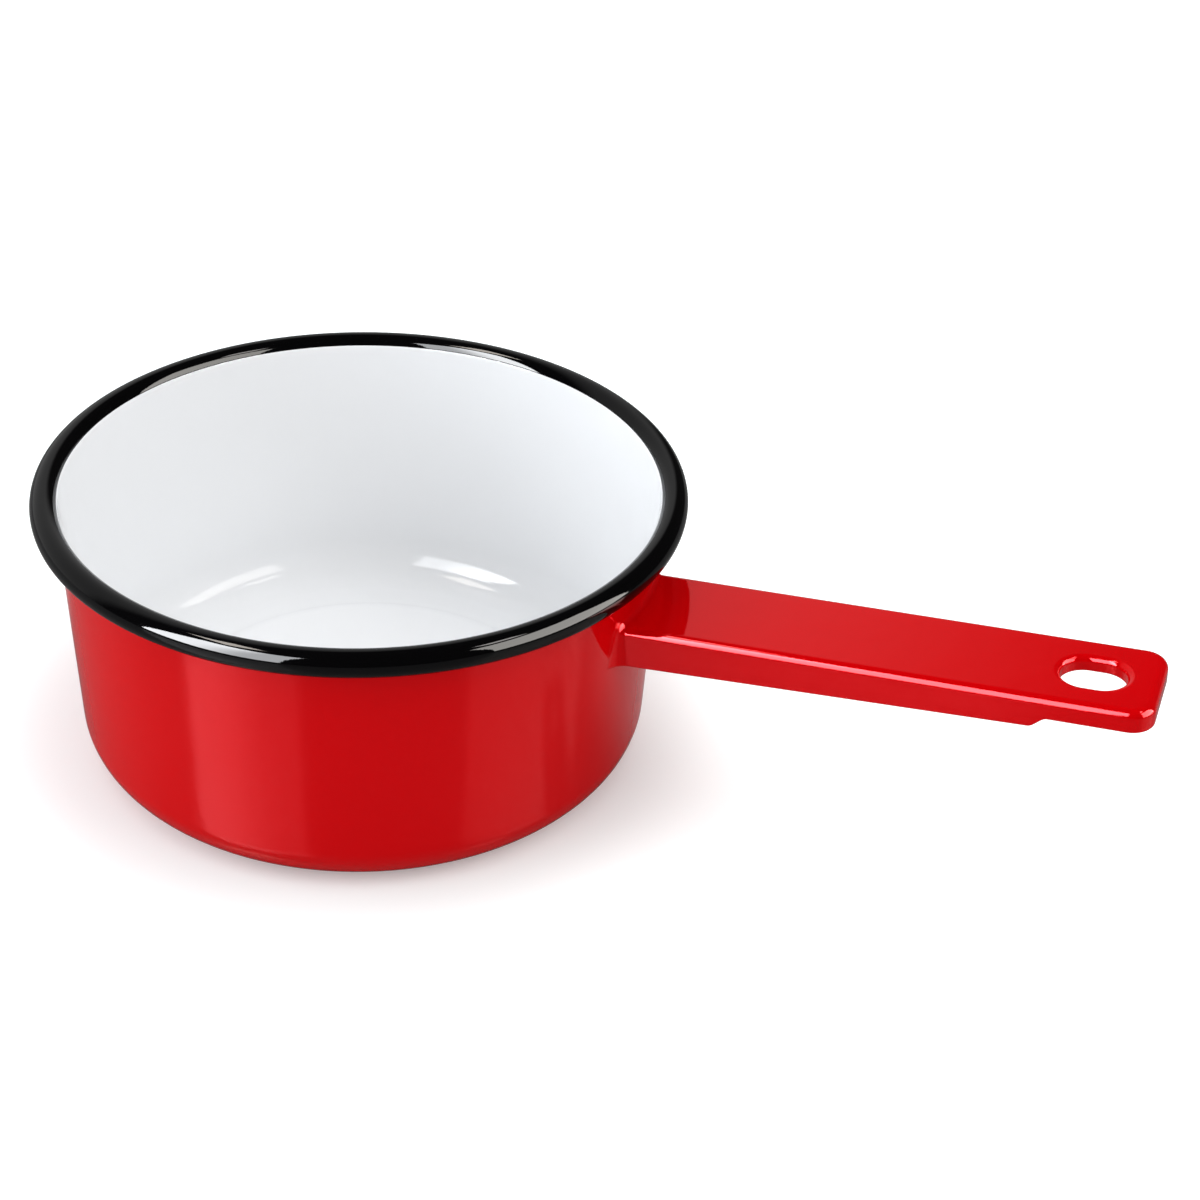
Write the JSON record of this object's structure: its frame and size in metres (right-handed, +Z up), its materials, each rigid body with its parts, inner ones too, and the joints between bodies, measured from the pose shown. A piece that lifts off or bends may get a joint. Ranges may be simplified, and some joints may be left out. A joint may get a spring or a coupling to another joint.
{
  "type": "saucepan",
  "caption": "Small enamelled steel saucepan, red outside and white inside, with a black rolled rim and a long flat channel handle with a hanging hole.",
  "frame": {"origin": "centre of the base, on the surface that the pan stands on", "axes": "+Z up out of the mouth, +X from the pan's axis towards the tip of the handle, the pan alike on both sides of the XZ plane"},
  "size_m": [0.2981, 0.172, 0.078],
  "materials": {
    "steel": "bare low-carbon steel sheet, covered by the enamel",
    "white_enamel": "glossy vitreous enamel",
    "red_enamel": "glossy vitreous enamel",
    "black_enamel": "glossy vitreous enamel"
  },
  "bodies": {
    "root": {"pan_shell": "steel", "lining_enamel": "white_enamel", "body_enamel": "red_enamel", "base_enamel": "red_enamel", "rim_enamel": "black_enamel", "handle_channel": "steel", "handle_enamel": "red_enamel", "handle_weld": "steel"}
  },
  "joints": []
}
